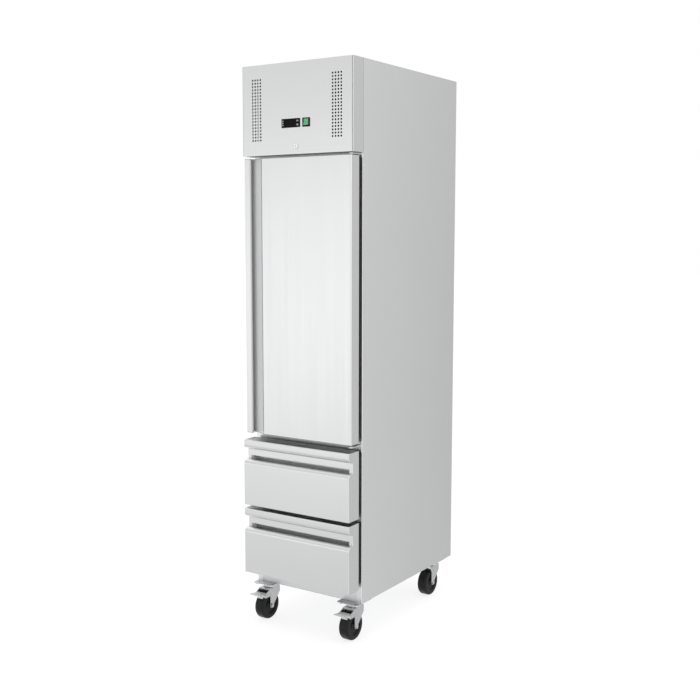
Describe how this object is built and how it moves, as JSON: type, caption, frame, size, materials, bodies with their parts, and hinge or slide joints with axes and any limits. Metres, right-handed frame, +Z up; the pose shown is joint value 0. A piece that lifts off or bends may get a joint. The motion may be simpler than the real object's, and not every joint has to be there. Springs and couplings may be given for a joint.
{
  "type": "commercial refrigerator cabinet",
  "caption": "Slim upright stainless refrigerator on casters with a recessed-grip door above drawers, under a vented header with controller, switch and lock.",
  "frame": {"origin": "on the floor, under the middle of the cabinet's outline", "axes": "+Z up, the front with door and drawers faces -Y, +X to the right as seen from the front"},
  "size_m": [0.46, 0.728, 1.98],
  "materials": {
    "stainless": "satin ground",
    "galvanised": "galvanised, matt",
    "zinc": "zinc plated",
    "wheel_rubber": "moulded, matt",
    "foam": "rigid foam, matt",
    "bright_wire": "polished wire",
    "black_plastic": "moulded",
    "grey_plastic": "moulded",
    "green_plastic": "translucent, glossy",
    "bright_metal": "plated",
    "fins": "finned",
    "fan_metal": "pressed",
    "black_enamel": "enamelled",
    "copper": "drawn copper",
    "gasket_rubber": "extruded, matt"
  },
  "bodies": {
    "cabinet": {"side_panel_right": "stainless", "side_panel_left": "stainless", "top_cover": "stainless", "front_frame": "stainless", "inner_liner": "stainless", "compartment_floor": "stainless", "header_fascia": "stainless", "evaporator_cover": "stainless", "shelf_racks": "stainless", "hinge_bracket_upper": "stainless", "hinge_bracket_lower": "stainless", "back_panel": "galvanised", "rear_grille": "galvanised", "base_panel": "galvanised", "machine_deck": "galvanised", "condenser_fan_frame": "galvanised", "drawer_rails_fixed": "galvanised", "caster_plates": "zinc", "wall_insulation": "foam", "wire_shelves": "bright_wire", "temperature_controller": "black_plastic", "switch_housing": "black_plastic", "lock_housing": "bright_metal", "condenser_coil": "fins", "evaporator_coil": "fins", "evaporator_fan_motor": "fan_metal", "compressor": "black_enamel", "refrigerant_pipes": "copper", "junction_box": "grey_plastic"},
    "door": {"door_skin": "stainless", "door_handle": "stainless", "door_end_caps": "stainless", "door_core": "foam", "door_inner_panel": "stainless", "door_gasket": "gasket_rubber"},
    "drawer_1": {"drawer_1_front": "stainless", "drawer_1_gasket": "gasket_rubber", "drawer_1_box": "stainless"},
    "drawer_1_rails": {"drawer_1_mid_rails": "galvanised"},
    "drawer_2": {"drawer_2_front": "stainless", "drawer_2_gasket": "gasket_rubber", "drawer_2_box": "stainless"},
    "drawer_2_rails": {"drawer_2_mid_rails": "galvanised"},
    "key_up": {"key_up": "grey_plastic"},
    "key_down": {"key_down": "grey_plastic"},
    "rocker": {"switch_rocker": "green_plastic"},
    "lock": {"lock_cam": "bright_metal"},
    "condenser_fan": {"condenser_fan_blade": "fan_metal"},
    "evaporator_fan": {"evaporator_fan_blade": "black_plastic"},
    "swivel_front_left": {"fork_front_left": "zinc"},
    "wheel_front_left": {"wheel_front_left": "wheel_rubber"},
    "pedal_front_left": {"pedal_front_left": "zinc"},
    "swivel_front_right": {"fork_front_right": "zinc"},
    "wheel_front_right": {"wheel_front_right": "wheel_rubber"},
    "pedal_front_right": {"pedal_front_right": "zinc"},
    "swivel_back_left": {"fork_back_left": "zinc"},
    "wheel_back_left": {"wheel_back_left": "wheel_rubber"},
    "swivel_back_right": {"fork_back_right": "zinc"},
    "wheel_back_right": {"wheel_back_right": "wheel_rubber"}
  },
  "joints": [
    {"name": "door_hinge", "type": "hinge", "parent": "cabinet", "child": "door", "pos_m": [0.212, -0.331, 1.183], "axis": [0, 0, 1], "range_deg": [0, 110]},
    {"name": "drawer_1_slide", "type": "slide", "parent": "cabinet", "child": "drawer_1", "axis": [0, -1, 0], "range_m": [0, 0.43]},
    {"name": "drawer_1_rail_slide", "type": "slide", "parent": "cabinet", "child": "drawer_1_rails", "axis": [0, -1, 0], "range_m": [0, 0.215]},
    {"name": "drawer_2_slide", "type": "slide", "parent": "cabinet", "child": "drawer_2", "axis": [0, -1, 0], "range_m": [0, 0.43]},
    {"name": "drawer_2_rail_slide", "type": "slide", "parent": "cabinet", "child": "drawer_2_rails", "axis": [0, -1, 0], "range_m": [0, 0.215]},
    {"name": "key_up_press", "type": "slide", "parent": "cabinet", "child": "key_up", "axis": [0, 1, 0], "range_m": [0, 0.0008], "stiffness_N_per_m": 900, "springref_m": -0.001},
    {"name": "key_down_press", "type": "slide", "parent": "cabinet", "child": "key_down", "axis": [0, 1, 0], "range_m": [0, 0.0008], "stiffness_N_per_m": 900, "springref_m": -0.001},
    {"name": "rocker_tilt", "type": "hinge", "parent": "cabinet", "child": "rocker", "pos_m": [0.043, -0.346, 1.7785], "axis": [1, 0, 0], "range_deg": [0, 16]},
    {"name": "lock_turn", "type": "hinge", "parent": "cabinet", "child": "lock", "pos_m": [0, -0.337, 1.702], "axis": [0, 1, 0], "range_deg": [0, 90]},
    {"name": "fan_condenser_spin", "type": "hinge", "parent": "cabinet", "child": "condenser_fan", "pos_m": [0, -0.145, 1.8015], "axis": [0, 1, 0], "continuous": true},
    {"name": "fan_evaporator_spin", "type": "hinge", "parent": "cabinet", "child": "evaporator_fan", "pos_m": [0, -0.01, 1.5475], "axis": [0, 1, 0], "continuous": true},
    {"name": "swivel_front_left_turn", "type": "hinge", "parent": "cabinet", "child": "swivel_front_left", "pos_m": [-0.185, -0.266, 0.119], "axis": [0, 0, 1], "continuous": true},
    {"name": "wheel_front_left_spin", "type": "hinge", "parent": "swivel_front_left", "child": "wheel_front_left", "pos_m": [-0.185, -0.29, 0.05], "axis": [1, 0, 0], "continuous": true},
    {"name": "pedal_front_left_lift", "type": "hinge", "parent": "swivel_front_left", "child": "pedal_front_left", "pos_m": [-0.185, -0.326, 0.095], "axis": [-1, 0, 0], "range_deg": [0, 15]},
    {"name": "swivel_front_right_turn", "type": "hinge", "parent": "cabinet", "child": "swivel_front_right", "pos_m": [0.185, -0.266, 0.119], "axis": [0, 0, 1], "continuous": true},
    {"name": "wheel_front_right_spin", "type": "hinge", "parent": "swivel_front_right", "child": "wheel_front_right", "pos_m": [0.185, -0.29, 0.05], "axis": [1, 0, 0], "continuous": true},
    {"name": "pedal_front_right_lift", "type": "hinge", "parent": "swivel_front_right", "child": "pedal_front_right", "pos_m": [0.185, -0.326, 0.095], "axis": [-1, 0, 0], "range_deg": [0, 15]},
    {"name": "swivel_back_left_turn", "type": "hinge", "parent": "cabinet", "child": "swivel_back_left", "pos_m": [-0.185, 0.282, 0.119], "axis": [0, 0, 1], "continuous": true},
    {"name": "wheel_back_left_spin", "type": "hinge", "parent": "swivel_back_left", "child": "wheel_back_left", "pos_m": [-0.185, 0.258, 0.05], "axis": [1, 0, 0], "continuous": true},
    {"name": "swivel_back_right_turn", "type": "hinge", "parent": "cabinet", "child": "swivel_back_right", "pos_m": [0.185, 0.282, 0.119], "axis": [0, 0, 1], "continuous": true},
    {"name": "wheel_back_right_spin", "type": "hinge", "parent": "swivel_back_right", "child": "wheel_back_right", "pos_m": [0.185, 0.258, 0.05], "axis": [1, 0, 0], "continuous": true}
  ],
  "couplings": [
    {"joint": "drawer_1_rail_slide", "follows": "drawer_1_slide", "ratio": 0.5},
    {"joint": "drawer_2_rail_slide", "follows": "drawer_2_slide", "ratio": 0.5}
  ]
}
